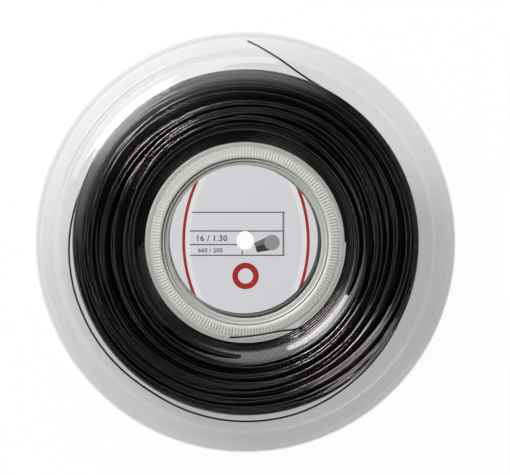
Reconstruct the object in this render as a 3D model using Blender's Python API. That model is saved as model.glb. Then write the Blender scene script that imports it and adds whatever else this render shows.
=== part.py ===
"""A reel of racket string: two clear flanges on a two-part hub, a label on each side, and the wound string.

The reel lies on the crown of its rear flange. Z is the reel's axis, the origin is the middle of the
face that it rests on, and the front flange faces up. Metres throughout.

Heights in the half sections are measured from the middle plane, halfway between the two flanges.
The rear pieces are the front ones turned over about the Y axis.
"""

import math

import bmesh
import bpy
from mathutils import Matrix, Vector

# The string
STRING_DIAMETER = 0.0013

# Room between pieces that touch on the real reel
SEAT_GAP = 0.0003

# Hub, from the spindle bore outwards: radii and radial widths
BORE_RADIUS = 0.0074
SLEEVE_WALL = 0.0020
LABEL_SEAT_RADIUS = 0.0465
LABEL_GROOVE_WIDTH = 0.0018
SMOOTH_RING_WIDTH = 0.0031
RIDGE_WIDTH = 0.0010
RIB_RING_WIDTH = 0.0066
RIDGE_GROOVE_WIDTH = 0.0010
DRUM_WALL = 0.0026
HUB_WALL = 0.0017

# Hub, from the flange's seat band down: heights
RIB_RING_SETBACK = 0.0003
RIB_RING_FALL = 0.0019
SMOOTH_RING_STEP = 0.0004
RIDGE_HEIGHT = 0.0006
LABEL_SEAT_STEP = 0.0003
LABEL_GROOVE_DEPTH = 0.0022

# Flange, from the hub outwards: radial widths
JOINT_GAP = 0.0004
SEAT_WIDTH = 0.0024
RAMP_WIDTH = 0.0150
CROWN_WIDTH = 0.0260
FALL_WIDTH = 0.0143
BEVEL_WIDTH = 0.0041
BAND_WIDTH = 0.0076
LIP_WIDTH = 0.0029
LIP_CHAMFER = 0.0006

# Flange, heights
FLANGE_WALL = 0.0017
INSIDE_HALF_WIDTH = 0.0103
RAMP_RISE = 0.0018
CROWN_FALL = 0.0018
BEVEL_DROP = 0.0028
BAND_DROP = 0.0004
LIP_RISE = 0.0012
LIP_HANG = 0.0011

# The slot that the string's inner end comes out of, at the inner edge of the front flange
SLOT_ANGLE = math.radians(299.7)
SLOT_LENGTH = 0.0098
SLOT_DEPTH = 0.0045

# Labels
LABEL_RADIUS = 0.0469
LABEL_THICKNESS = 0.0003
LABEL_OFFSET = (-0.0010, 0.0018)
LABEL_HOLE_RADIUS = 0.00595
LABEL_HOLE_OFFSET = (0.00013, 0.0012)

# The wound string
WOUND_DEPTH = 0.0469
FRONT_LOOPS = 10
OUTER_LOOPS = 6
REAR_LOOPS = 10
WINDING_STARTS = math.radians(305.1)
LAYER_STARTS = math.radians(150.0)
LAYER_ROW_ROOM = 0.00045
FREE_END_LEAVES = math.radians(66.0)
LOOP_POINTS = 24

# The loose last turn and the free outer end, as (angle in degrees, radius), lying on the rear flange
FREE_END_ROUTE = (
    (150.3, 0.10935),
    (157, 0.1098),
    (166, 0.1112),
    (176, 0.1125),
    (186, 0.1134),
    (198, 0.1140),
    (212, 0.1141),
    (226, 0.1137),
    (240, 0.1133),
    (252, 0.1142),
    (264, 0.1147),
    (276, 0.1148),
    (288, 0.1145),
    (300, 0.1134),
    (312, 0.1123),
    (324, 0.1113),
    (336, 0.1104),
    (348, 0.1098),
    (361, 0.1094),
    (378, 0.1094),
    (396, 0.1094),
    (412, 0.1097),
    (421, 0.1103),
    (426.2, 0.1110),
    (431.5, 0.1131),
    (436, 0.1163),
    (440, 0.1197),
    (444, 0.1232),
    (447.3, 0.1267),
    (449.4, 0.1286),
)
FREE_END_POINTS = 76

# The inner end: out of the winding, up through the slot and across the hub's edge, as (x, y, height)
INNER_TAIL_ROUTE = (
    (0.0366, -0.0527, 0.00755),
    (0.0350, -0.0537, 0.00775),
    (0.0334, -0.0545, 0.0086),
    (0.0319, -0.0550, 0.0097),
    (0.0302, -0.0553, 0.0106),
    (0.0281, -0.0555, 0.01108),
    (0.0250, -0.0557, 0.01117),
    (0.0185, -0.0567, 0.01117),
    (0.0120, -0.0580, 0.01117),
    (0.0055, -0.0590, 0.01117),
    (-0.0010, -0.0597, 0.01117),
    (-0.0068, -0.0601, 0.01117),
    (-0.0101, -0.0601, 0.01117),
)
INNER_TAIL_POINTS = 22

# Fineness of the turned pieces
SEGMENTS = 40
SMOOTH_UNDER = math.radians(25)

# Places worked out from the sizes above
STRING_RADIUS = STRING_DIAMETER / 2
MIDDLE_HEIGHT = INSIDE_HALF_WIDTH + FLANGE_WALL
SEAT_BAND_TOP = MIDDLE_HEIGHT - RAMP_RISE
GROOVE_OUT_RADIUS = LABEL_SEAT_RADIUS + LABEL_GROOVE_WIDTH
SMOOTH_OUT_RADIUS = GROOVE_OUT_RADIUS + SMOOTH_RING_WIDTH
RIDGE_OUT_RADIUS = SMOOTH_OUT_RADIUS + RIDGE_WIDTH
RIBS_IN_RADIUS = RIDGE_OUT_RADIUS + RIDGE_GROOVE_WIDTH
HUB_FACE_RADIUS = RIBS_IN_RADIUS + RIB_RING_WIDTH
FLANGE_IN_RADIUS = HUB_FACE_RADIUS + JOINT_GAP
DRUM_RADIUS = FLANGE_IN_RADIUS + SEAT_WIDTH
WOUND_IN_RADIUS = DRUM_RADIUS + SEAT_GAP
WOUND_OUT_RADIUS = WOUND_IN_RADIUS + WOUND_DEPTH
# A loop of few points cuts its corners by this share of its radius
CORNER_CUT = math.cos(math.pi / LOOP_POINTS)
LAYER_RADIUS = WOUND_OUT_RADIUS - STRING_RADIUS
CORE_RADIUS = LAYER_RADIUS * CORNER_CUT - STRING_RADIUS - SEAT_GAP


def clear_scene():
    for thing in list(bpy.data.objects):
        bpy.data.objects.remove(thing, do_unlink=True)


def make_material(name, colour, roughness, transmission=0.0):
    """A plain Principled plastic, clear where transmission is set."""
    material = bpy.data.materials.new(name)
    material.use_nodes = True
    shader = material.node_tree.nodes["Principled BSDF"]
    shader.inputs["Base Color"].default_value = (*colour, 1.0)
    shader.inputs["Roughness"].default_value = roughness
    shader.inputs["Metallic"].default_value = 0.0
    shader.inputs["Transmission Weight"].default_value = transmission
    return material


def add_object(name, data, material):
    """Links the data as an object whose middle plane lies at its place in the reel."""
    thing = bpy.data.objects.new(name, data)
    thing.location.z = MIDDLE_HEIGHT
    data.materials.append(material)
    bpy.context.scene.collection.objects.link(thing)
    return thing


def turn_over(thing):
    """A rear piece is a front piece turned over about the Y axis."""
    thing.rotation_euler.y = math.pi


def turned_mesh(name, section):
    """Spins a closed half section, a list of (radius, height), round the reel's axis."""
    mesh = bpy.data.meshes.new(name)
    shape = bmesh.new()
    corners = [shape.verts.new((radius, 0.0, height)) for radius, height in section]
    edges = [shape.edges.new((a, b)) for a, b in zip(corners, corners[1:] + corners[:1])]
    bmesh.ops.spin(
        shape,
        geom=corners + edges,
        axis=(0, 0, 1),
        cent=(0, 0, 0),
        angle=math.tau,
        steps=SEGMENTS,
        use_merge=True,
    )
    bmesh.ops.remove_doubles(shape, verts=shape.verts, dist=1e-6)
    bmesh.ops.recalc_face_normals(shape, faces=shape.faces)
    shape.to_mesh(mesh)
    shape.free()
    mesh.shade_smooth()
    mesh.set_sharp_from_angle(angle=SMOOTH_UNDER)
    return mesh


def offset_down(path, distance):
    """The same path, moved square to itself towards the middle plane."""
    moved = []
    for i, (radius, height) in enumerate(path):
        before = Vector(path[i]) - Vector(path[max(i - 1, 0)])
        after = Vector(path[min(i + 1, len(path) - 1)]) - Vector(path[i])
        directions = [step.normalized() for step in (before, after) if step.length > 0]
        normals = [Vector((step.y, -step.x)) for step in directions]
        middle = sum(normals, Vector((0, 0))).normalized()
        reach = distance / middle.dot(normals[0])
        moved.append((radius + middle.x * reach, height + middle.y * reach))
    return moved


def flange_face():
    """The flange's outer face, from its inner edge to the foot of its rim."""
    crown = MIDDLE_HEIGHT
    ramp_foot = DRUM_RADIUS + SEAT_GAP
    crown_in = ramp_foot + RAMP_WIDTH
    crown_out = crown_in + CROWN_WIDTH
    face_out = crown_out + FALL_WIDTH
    band_in = face_out + BEVEL_WIDTH
    face = [(FLANGE_IN_RADIUS, SEAT_BAND_TOP), (ramp_foot, SEAT_BAND_TOP)]
    face += [
        (ramp_foot + 0.45 * RAMP_WIDTH, SEAT_BAND_TOP + 0.22 * RAMP_RISE),
        (ramp_foot + 0.80 * RAMP_WIDTH, SEAT_BAND_TOP + 0.84 * RAMP_RISE),
        (crown_in, crown),
        (crown_out, crown),
    ]
    # A parabola: level at the crown, steepest above the bevel
    face += [(crown_out + part * FALL_WIDTH, crown - part**2 * CROWN_FALL) for part in (0.5, 1.0)]
    face.append((band_in, crown - CROWN_FALL - BEVEL_DROP))
    face.append((band_in + BAND_WIDTH, crown - CROWN_FALL - BEVEL_DROP - BAND_DROP))
    return face


FLANGE_FACE = flange_face()
FLANGE_INSIDE = offset_down(FLANGE_FACE, FLANGE_WALL)


def inside_height(radius):
    """The height of the flange's inner face at a radius, lowest within a string's half width."""
    heights = []
    for place in (radius - STRING_RADIUS, radius, radius + STRING_RADIUS):
        for (near, low), (far, high) in zip(FLANGE_INSIDE, FLANGE_INSIDE[1:]):
            if near <= place <= far:
                heights.append(low + (high - low) * (place - near) / (far - near))
    return min(heights) if heights else FLANGE_INSIDE[-1][1]


def row_height(radius):
    """The height of a string's centre where it lies against the flange's inner face."""
    return inside_height(radius) - SEAT_GAP - STRING_RADIUS


def flange_section():
    """The flange's half section: its outer face, the rim's lip and back along its inner face."""
    foot_radius, foot_top = FLANGE_FACE[-1]
    rim_radius = foot_radius + LIP_WIDTH
    foot_under = FLANGE_INSIDE[-1][1]
    top = foot_top + LIP_RISE
    bottom = foot_under - LIP_HANG
    lip = [
        (foot_radius + LIP_CHAMFER, top),
        (rim_radius - LIP_CHAMFER, top),
        (rim_radius, top - LIP_CHAMFER),
        (rim_radius, bottom + LIP_CHAMFER),
        (rim_radius - LIP_CHAMFER, bottom),
        (foot_radius + LIP_CHAMFER, bottom),
    ]
    return FLANGE_FACE + lip + FLANGE_INSIDE[::-1]


def hub_section():
    """One half of the hub: sleeve, label seat, rings and drum wall, down to the joint in the middle."""
    joint = SEAT_GAP / 2
    ribs_top = SEAT_BAND_TOP - RIB_RING_SETBACK
    ribs_foot = ribs_top - RIB_RING_FALL
    ring = ribs_foot - SMOOTH_RING_STEP
    seat = ring + LABEL_SEAT_STEP
    groove = seat - LABEL_GROOVE_DEPTH
    shoulder = FLANGE_INSIDE[0][1] - SEAT_GAP
    sleeve_radius = BORE_RADIUS + SLEEVE_WALL
    drum_in_radius = DRUM_RADIUS - DRUM_WALL
    bevel = LABEL_GROOVE_WIDTH / 6
    top = [
        (BORE_RADIUS, seat),
        (LABEL_SEAT_RADIUS, seat),
        (LABEL_SEAT_RADIUS + bevel, groove),
        (GROOVE_OUT_RADIUS - bevel, groove),
        (GROOVE_OUT_RADIUS, ring - RIDGE_HEIGHT / 2),
        (GROOVE_OUT_RADIUS + SMOOTH_RING_WIDTH / 2, ring),
        (SMOOTH_OUT_RADIUS, ring),
        (SMOOTH_OUT_RADIUS + RIDGE_WIDTH / 2, ring + RIDGE_HEIGHT),
        (RIDGE_OUT_RADIUS, ring),
        (RIBS_IN_RADIUS, ribs_foot),
        (HUB_FACE_RADIUS, ribs_top),
    ]
    drum = [
        (HUB_FACE_RADIUS, shoulder),
        (DRUM_RADIUS, shoulder),
        (DRUM_RADIUS, joint),
        (drum_in_radius, joint),
        (drum_in_radius, ribs_top - HUB_WALL * 1.8),
    ]
    underside = [
        (GROOVE_OUT_RADIUS + HUB_WALL, groove - HUB_WALL),
        (LABEL_SEAT_RADIUS - HUB_WALL, groove - HUB_WALL),
        (LABEL_SEAT_RADIUS - HUB_WALL * 1.8, seat - HUB_WALL),
        (sleeve_radius, seat - HUB_WALL),
        (sleeve_radius, joint),
        (BORE_RADIUS, joint),
    ]
    return top + drum + underside


def core_section():
    """The string inside the winding, a plain ring that the outer turns lie on."""
    corners = [place for place, _ in FLANGE_FACE if WOUND_IN_RADIUS < place < CORE_RADIUS]
    room = 2 * SEAT_GAP + STRING_DIAMETER
    side = [(place, inside_height(place) - room) for place in [WOUND_IN_RADIUS, *corners, CORE_RADIUS]]
    return side + [(place, -height) for place, height in side[::-1]]


def through_points(route, count):
    """Points at even steps along a smooth curve through the route's own points."""
    fine = []
    padded = [route[0] * 2 - route[1], *route, route[-1] * 2 - route[-2]]
    for a, b, c, d in zip(padded, padded[1:], padded[2:], padded[3:]):
        for step in range(12):
            t = step / 12
            fine.append(
                0.5 * (2 * b + (c - a) * t + (2 * a - 5 * b + 4 * c - d) * t**2
                       + (3 * b - a - 3 * c + d) * t**3)
            )
    fine.append(route[-1])
    lengths = [0.0]
    for a, b in zip(fine, fine[1:]):
        lengths.append(lengths[-1] + (b - a).length)
    points = []
    at = 0
    for i in range(count):
        wanted = lengths[-1] * i / (count - 1)
        while at < len(fine) - 2 and lengths[at + 1] < wanted:
            at += 1
        share = (wanted - lengths[at]) / (lengths[at + 1] - lengths[at])
        points.append(fine[at].lerp(fine[at + 1], share))
    return points


def around(angle, radius, height):
    return Vector((radius * math.cos(angle), radius * math.sin(angle), height))


def straight_ends(points):
    """Each end of a wound tube runs straight for one diameter."""
    first = points[0] + (points[1] - points[0]).normalized() * STRING_DIAMETER
    last = points[-1] + (points[-2] - points[-1]).normalized() * STRING_DIAMETER
    return [points[0], first, *points[1:-1], last, points[-1]]


def side_turns(start, turns, in_radius, out_radius):
    """A flat spiral from the drum outwards, against the flange's inner face."""
    steps = round(turns * LOOP_POINTS)
    points = []
    for i in range(steps + 1):
        radius = in_radius + (out_radius - in_radius) * i / steps
        points.append(around(start + turns * math.tau * i / steps, radius, row_height(radius)))
    return straight_ends(points)


def layer_turns(start, loops):
    """The outermost layer: a helix from the front flange to the rear one.

    The last turn lies in the rearmost row until it leaves the winding, so the helix keeps out of
    that row and steps down into it past that place.
    """
    steps = loops * LOOP_POINTS
    reach = row_height(LAYER_RADIUS)
    last_row = STRING_DIAMETER + LAYER_ROW_ROOM
    crossing = (start - FREE_END_LEAVES) / math.tau * LOOP_POINTS
    points = []
    for i in range(steps + 1):
        if i < steps - crossing:
            height = reach - (2 * reach - last_row) * i / (steps - crossing)
        else:
            height = -reach + last_row * (steps - i) / crossing
        points.append(around(start + math.tau * i / LOOP_POINTS, LAYER_RADIUS, height))
    return straight_ends(points)


def least_gap(points):
    """The least room between two stretches of one tube that are half a loop or more apart."""
    apart = LOOP_POINTS // 2
    return min(
        (b - a).length for i, a in enumerate(points) for b in points[i + apart :]
    ) - STRING_DIAMETER


def string_tube(name, points, material, bevel_resolution):
    """A tube of the string's diameter along the points."""
    data = bpy.data.curves.new(name, "CURVE")
    data.dimensions = "3D"
    data.bevel_depth = STRING_RADIUS
    data.bevel_resolution = bevel_resolution
    data.use_fill_caps = True
    spline = data.splines.new("POLY")
    spline.points.add(len(points) - 1)
    for knot, point in zip(spline.points, points):
        knot.co = (*point, 1.0)
    return add_object(name, data, material)


def add_flanges(material):
    front = add_object("front_flange", turned_mesh("front_flange", flange_section()), material)
    cut_slot(front)
    rear = add_object("rear_flange", turned_mesh("rear_flange", flange_section()), material)
    turn_over(rear)


def cut_slot(flange):
    """Opens the front flange's inner edge where the string's inner end comes through."""
    depth = 2 * SLOT_DEPTH
    data = bpy.data.meshes.new("slot_cutter")
    shape = bmesh.new()
    place = Matrix.Rotation(SLOT_ANGLE, 4, "Z") @ Matrix.Translation(
        (FLANGE_IN_RADIUS + SLOT_DEPTH - depth / 2, 0, SEAT_BAND_TOP)
    )
    bmesh.ops.create_cube(
        shape, size=1.0, matrix=place @ Matrix.Diagonal((depth, SLOT_LENGTH, FLANGE_WALL * 6, 1))
    )
    shape.to_mesh(data)
    shape.free()
    cutter = bpy.data.objects.new("slot_cutter", data)
    cutter.location.z = MIDDLE_HEIGHT
    cutter.hide_render = True
    cutter.display_type = "WIRE"
    bpy.context.scene.collection.objects.link(cutter)
    cut = flange.modifiers.new("slot", "BOOLEAN")
    cut.operation = "DIFFERENCE"
    cut.solver = "EXACT"
    cut.object = cutter


def add_hub(material):
    add_object("front_hub_half", turned_mesh("front_hub_half", hub_section()), material)
    turn_over(add_object("rear_hub_half", turned_mesh("rear_hub_half", hub_section()), material))


def label_mesh(name):
    """A thin disc, a little off the hub's centre, with a hole over the spindle bore."""
    ring = SEAT_BAND_TOP - RIB_RING_SETBACK - RIB_RING_FALL - SMOOTH_RING_STEP
    bottom = ring + LABEL_SEAT_STEP + SEAT_GAP
    mesh = bpy.data.meshes.new(name)
    shape = bmesh.new()
    loops = []
    for height in (bottom, bottom + LABEL_THICKNESS):
        for radius, centre in ((LABEL_RADIUS, LABEL_OFFSET), (LABEL_HOLE_RADIUS, LABEL_HOLE_OFFSET)):
            turn = [math.tau * i / SEGMENTS for i in range(SEGMENTS)]
            middle = Vector((*centre, 0))
            corners = [shape.verts.new(middle + around(angle, radius, height)) for angle in turn]
            loops.append([shape.edges.new((a, b)) for a, b in zip(corners, corners[1:] + corners[:1])])
    low_out, low_in, high_out, high_in = loops
    for pair in ((low_out, low_in), (high_out, high_in), (low_out, high_out), (low_in, high_in)):
        bmesh.ops.bridge_loops(shape, edges=pair[0] + pair[1])
    bmesh.ops.recalc_face_normals(shape, faces=shape.faces)
    shape.to_mesh(mesh)
    shape.free()
    mesh.shade_smooth()
    mesh.set_sharp_from_angle(angle=SMOOTH_UNDER)
    return mesh


def add_labels(material):
    add_object("front_label", label_mesh("front_label"), material)
    turn_over(add_object("rear_label", label_mesh("rear_label"), material))


def add_wound_string(material):
    """The core, the side turns that show through the flanges, and the outermost layer."""
    add_object("string_core", turned_mesh("string_core", core_section()), material)
    start_radius = WOUND_IN_RADIUS + SEAT_GAP + STRING_RADIUS
    front_turns = FRONT_LOOPS + (LAYER_STARTS - WINDING_STARTS) % math.tau / math.tau
    row_pitch = 2 * row_height(LAYER_RADIUS) / OUTER_LOOPS
    rear_out_radius = LAYER_RADIUS - row_pitch
    joint = SEAT_GAP / LAYER_RADIUS
    windings = {
        "string_front_turns": side_turns(
            WINDING_STARTS, front_turns - joint / math.tau, start_radius, LAYER_RADIUS
        ),
        "string_outer_layer": layer_turns(LAYER_STARTS, OUTER_LOOPS),
        "string_rear_turns": side_turns(0.0, REAR_LOOPS, start_radius, rear_out_radius),
    }
    for name, points in windings.items():
        tube = string_tube(name, points, material, bevel_resolution=1)
        if name == "string_rear_turns":
            turn_over(tube)
        print(f"{name}: least gap to itself {least_gap(points) * 1000:.2f} mm")


def add_free_string(material):
    """The loose last turn with the free outer end, and the inner end that comes out at the hub."""
    route = [
        around(math.radians(angle), radius, -row_height(radius)) for angle, radius in FREE_END_ROUTE
    ]
    string_tube("string_free_end", through_points(route, FREE_END_POINTS), material, bevel_resolution=2)
    tail = through_points([Vector(place) for place in INNER_TAIL_ROUTE], INNER_TAIL_POINTS)
    string_tube("string_inner_tail", tail, material, bevel_resolution=2)


def main():
    clear_scene()
    clear_plastic = make_material("clear_plastic", (0.86, 0.87, 0.87), 0.12, transmission=0.9)
    hub_plastic = make_material("hub_plastic", (0.50, 0.50, 0.46), 0.35)
    label_paper = make_material("label_paper", (0.72, 0.72, 0.75), 0.55)
    black_string = make_material("black_string", (0.012, 0.009, 0.009), 0.28)
    add_flanges(clear_plastic)
    add_hub(hub_plastic)
    add_labels(label_paper)
    add_wound_string(black_string)
    add_free_string(black_string)


main()
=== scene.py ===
"""The looks of a string reel: clear flanges, a ribbed hub, labels and a full winding of black string.

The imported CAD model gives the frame: it lies on its rear flange at the origin, with Z along the
reel's axis and the front face up. Metres throughout. The rear pieces are the front ones turned over.
"""

import math

import bpy
import numpy as np
from mathutils import Matrix, Vector


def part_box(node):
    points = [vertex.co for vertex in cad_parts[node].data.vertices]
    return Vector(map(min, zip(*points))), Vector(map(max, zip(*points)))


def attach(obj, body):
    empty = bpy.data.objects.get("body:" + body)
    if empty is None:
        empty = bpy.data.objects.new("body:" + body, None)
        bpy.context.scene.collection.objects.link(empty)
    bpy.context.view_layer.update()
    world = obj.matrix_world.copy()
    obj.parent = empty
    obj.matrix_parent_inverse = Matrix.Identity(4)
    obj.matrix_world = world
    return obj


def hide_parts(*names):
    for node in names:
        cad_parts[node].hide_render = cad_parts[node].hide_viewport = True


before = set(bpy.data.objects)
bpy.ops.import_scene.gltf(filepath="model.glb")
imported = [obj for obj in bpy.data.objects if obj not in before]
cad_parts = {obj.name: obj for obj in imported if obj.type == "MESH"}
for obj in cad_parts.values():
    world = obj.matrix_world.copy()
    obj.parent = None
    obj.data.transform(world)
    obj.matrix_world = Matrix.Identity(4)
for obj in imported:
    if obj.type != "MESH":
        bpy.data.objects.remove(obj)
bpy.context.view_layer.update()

bl_info = {
    "name": "String reel",
    "version": (1, 0, 0),
    "blender": (4, 5, 0),
    "location": "View3D > Sidebar > Reel",
    "description": "Dresses the string reel's frame: flanges, hub, labels, winding and studio",
    "category": "Object",
}

REEL_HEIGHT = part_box("front_flange")[1].z
MIDDLE = REEL_HEIGHT / 2
RIM_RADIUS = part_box("front_flange")[1].x
STRING_DIAMETER = 0.0013
STRING_RADIUS = STRING_DIAMETER / 2

# Half sections as (radius, height above the middle plane)
FLANGE_FACE = (
    (0.0604, 0.0101), (0.0631, 0.0101), (0.0697, 0.01055), (0.0748, 0.01165), (0.0781, 0.0120),
    (0.0985, 0.0120), (0.1005, 0.01194), (0.1030, 0.01183), (0.1064, 0.01166), (0.1104, 0.01139),
    (0.1130, 0.01087), (0.1184, 0.01033), (0.1215, 0.0074), (0.1301, 0.0070),
)
FLANGE_RIM = (
    (0.1305, 0.0082), (0.1330, 0.0082), (0.1330, 0.0042), (0.1301, 0.0042),
)
FLANGE_INSIDE = (
    (0.1300, 0.0053), (0.1219, 0.0057), (0.1177, 0.0086), (0.1133, 0.00906), (0.1088, 0.00997),
    (0.1040, 0.0103), (0.0782, 0.0103), (0.0753, 0.00997), (0.0701, 0.00886), (0.0632, 0.0085),
    (0.0604, 0.0085),
)
HUB_TOP = (
    (0.0074, 0.0079), (0.0465, 0.0079), (0.0468, 0.0057), (0.0480, 0.0057), (0.0483, 0.0073),
    (0.0493, 0.0076), (0.0512, 0.0076), (0.0516, 0.0082), (0.0521, 0.0082), (0.0525, 0.0077),
    (0.0531, 0.0079), (0.0537, 0.0088),
)
RIB_RING = ((0.0537, 0.0088), (0.0600, 0.0082))
HUB_UNDER = (
    (0.0600, 0.0082), (0.0628, 0.0082), (0.0628, 0.00015), (0.0602, 0.00015), (0.0602, 0.0068),
    (0.0500, 0.0040), (0.0448, 0.0040), (0.0434, 0.0062), (0.0094, 0.0062), (0.0094, 0.00015),
    (0.0074, 0.00015),
)

# The route of the loose last turn and the free end: angle in degrees, radius, height above the bench
FREE_END_ROUTE = (
    (150.3, 0.10935, 0.003025), (157, 0.1098, 0.003053), (166, 0.1112, 0.003243),
    (176, 0.1125, 0.003489), (186, 0.1134, 0.003659), (198, 0.1140, 0.003772),
    (212, 0.1141, 0.003791), (226, 0.1137, 0.003715), (240, 0.1133, 0.003640),
    (252, 0.1142, 0.003810), (264, 0.1147, 0.003904), (276, 0.1148, 0.003923),
    (288, 0.1145, 0.003866), (300, 0.1134, 0.003659), (312, 0.1123, 0.003451),
    (324, 0.1113, 0.003262), (336, 0.1104, 0.003092), (348, 0.1098, 0.003053),
    (361, 0.1094, 0.003028), (378, 0.1094, 0.003028), (396, 0.1094, 0.003028),
    (412, 0.1097, 0.003047), (421, 0.1103, 0.003084), (426.2, 0.1110, 0.003206),
    (431.5, 0.1131, 0.003602), (436, 0.1163, 0.004206), (440, 0.1197, 0.006140),
    (444, 0.1232, 0.007323), (447.3, 0.1267, 0.007508), (449.4, 0.1286, 0.007608),
)
# The inner end: x, y, height above the bench
INNER_TAIL_ROUTE = (
    (0.0366, -0.0527, 0.01955), (0.0350, -0.0537, 0.01975), (0.0334, -0.0545, 0.02060),
    (0.0319, -0.0550, 0.02170), (0.0302, -0.0553, 0.02260), (0.0281, -0.0555, 0.02308),
    (0.0250, -0.0557, 0.02317), (0.0185, -0.0567, 0.02317), (0.0120, -0.0580, 0.02317),
    (0.0055, -0.0590, 0.02317), (-0.0010, -0.0597, 0.02317), (-0.0068, -0.0601, 0.02317),
    (-0.0101, -0.0601, 0.02317),
)

# Points along the two free ends, and places round each turn of the winding
FREE_END_POINTS = 76
INNER_TAIL_POINTS = 22
SLICES = 160
# The radius and height given to a route at the slices that it doesn't cross
FAR_AWAY = 9.0

# How the winding settles: the distance that turns are pushed to, the furthest that one moves in a
# round, the slices that its moves are smoothed over, the rounds, and how far on a turn meets others
TOUCHING = STRING_DIAMETER * 1.04
FURTHEST_MOVE = 0.0004
SMOOTHED_OVER = 4
SIDE_ROUNDS = 220
OUTSIDE_ROUNDS = 90
MET_TURNS = 14

# The string's room inside a flange, and how deep under it a side's turns may lie
FLANGE_GAP = 0.0003
DEEPEST = 0.0050

# The last turns of a side lie closer, from this radius on, and bundles of turns sway by this much
EDGE_TURNS = 10
EDGE_STARTS = 0.097
BUNDLING = 0.0008

# The neat turns lie deeper towards this angle, by this share
LEAN = 0.7
LEAN_WAY = math.radians(132)

# The print's map shows plain ink from here on, in millimetres to the right
INKED_FROM = 48.0

# Lamps: angles in degrees from straight overhead, and the panel's width as a share of its distance
MAIN_BOX_ANGLES = (55.0, 78.0)
HIGH_BOX_ANGLES = (19.0, 29.0)
SOFT_BOX_HALF_TURN = math.radians(17)
PANEL_ANGLES = (4.2, 35.0)
PANEL_WIDTH = 0.4
PANEL_AZIMUTH = math.radians(120)

# The floor's own light, and the side that it is brighter on: under the reel that extra light is painted light
FLOOR_UNDER_REEL = 0.52
FLOOR_PAINTED_LIGHT_MORE = 0.28
FLOOR_IN_THE_OPEN = 0.97
FLOOR_MIRRORED = 0.3
PAINTED_LIGHT_WAY = (-0.17, 0.98)

# The room's lights fade in from each pair's first value to its second: by the angle round the axis
# from the wall's middle, and by the sine of the height
WALL_MIDDLE = math.radians(-37.5)
WALL_TURNS = ((1.475, 1.44),)
WALL_HEIGHTS = ((0.96, 0.93),)
GLOW_TURNS = ((1.35, 2.1), (2.9, 2.55))
GLOW_HEIGHTS = ((0.37, 0.45), (0.68, 0.60))


def share(name, description, default, **more):
    """A plain number that a user may change."""
    return bpy.props.FloatProperty(name=name, description=description, default=default, **more)


def size(name, description, default):
    """A length that a user may change."""
    return share(name, description, default, unit="LENGTH", precision=5)


def bearing(name, description, degrees):
    """An angle round the reel's axis that a user may change."""
    return share(name, description, math.radians(degrees), subtype="ANGLE")


def count(name, description, default, **more):
    return bpy.props.IntProperty(name=name, description=description, default=default, **more)


def colour(name, description, default):
    return bpy.props.FloatVectorProperty(
        name=name, description=description, default=default, subtype="COLOR", min=0.0, max=1.0
    )


class FlangeSettings(bpy.types.PropertyGroup):
    """The clear discs."""

    steps: count("Steps", "Steps that the section takes round the axis", 256, min=32)
    shallow_round: size("Shallow rounding", "Rounding of the face's shallow corners", 0.0011)
    sharp_round: size("Sharp rounding", "Rounding of the rim and the edges", 0.00035)
    slot_angle: bearing("Slot angle", "Where the string's inner end comes out", 299.7)
    slot_length: size("Slot length", "Length of the slot along the inner edge", 0.0098)
    slot_depth: size("Slot depth", "How far the slot reaches into the flange", 0.0045)
    tint: colour("Tint", "Colour that one face lets through", (0.997, 0.998, 0.998))
    haze: share("Haze", "How milky the plastic is", 0.001, min=0.0, max=1.0)
    mirror: share("Mirror", "How much light a face throws back head on", 0.07, min=0.0, max=1.0)


class HubSettings(bpy.types.PropertyGroup):
    """The two halves of the hub."""

    ribs: count("Ribs", "Ribs round the outer ring", 180, min=12)
    rib_height: size("Rib height", "How far a rib stands up", 0.00026)
    edge_round: size("Edge rounding", "Rounding of the section's corners", 0.00025)
    body: colour("Body", "Colour of the moulded plastic", (0.55, 0.555, 0.525))


class LabelSettings(bpy.types.PropertyGroup):
    """The printed labels."""

    radius: size("Radius", "Outer radius", 0.0469)
    thickness: size("Thickness", "Thickness of the label stock", 0.0003)
    offset_x: size("Offset X", "How far off centre it is stuck, to the right", -0.0010)
    offset_y: size("Offset Y", "How far off centre it is stuck, upwards", 0.0018)
    hole_radius: size("Hole radius", "Radius of the hole over the bore", 0.00595)
    hole_x: size("Hole X", "The hole's place to the right of the axis", 0.00013)
    hole_y: size("Hole Y", "The hole's place above the axis", 0.0012)
    base: size("Base", "Height of its underside above the middle plane", 0.0082)
    paper: colour("Paper", "Colour of the stock", (0.84, 0.84, 0.875))
    pale: colour("Pale band", "Colour of the pale bands beside the arcs", (0.93, 0.93, 0.94))
    red: colour("Red ink", "Colour of the arcs and the ring", (0.46, 0.030, 0.022))
    grey: colour("Grey ink", "Colour of the rules and numbers", (0.12, 0.12, 0.14))
    number_rows: size("Number rows", "Height of the larger row of numbers", 0.0037)


class WindingSettings(bpy.types.PropertyGroup):
    """The wound string."""

    in_radius: size("Inner radius", "Radius of the innermost turn", 0.06405)
    out_radius: size("Outer radius", "Radius of the outermost turn", 0.10935)
    neat_turns: count("Neat turns", "Turns that lie side by side next to the drum", 6, min=1)
    neat_depth: size("Neat depth", "How deep the neat turns lie behind the flange on average", 0.0030)
    side_turns: count("Side turns", "Turns that show on one side of the winding", 30, min=20)
    layer_turns: count("Layer turns", "Turns of the outermost layer", 15, min=4)
    wander: size("Wander", "How far bundles of turns wander in and out together", 0.0014)
    stray: size("Stray", "How far single turns stray from their bundle", 0.0019)
    bundle_pitch: size("Bundle pitch", "Distance from one bundle of turns to the next", 0.0062)
    depth: size("Depth", "How deep a turn goes where it dips under others", 0.0030)
    tint: colour("Tint", "Colour of the string", (0.0032, 0.0018, 0.0016))


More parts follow.
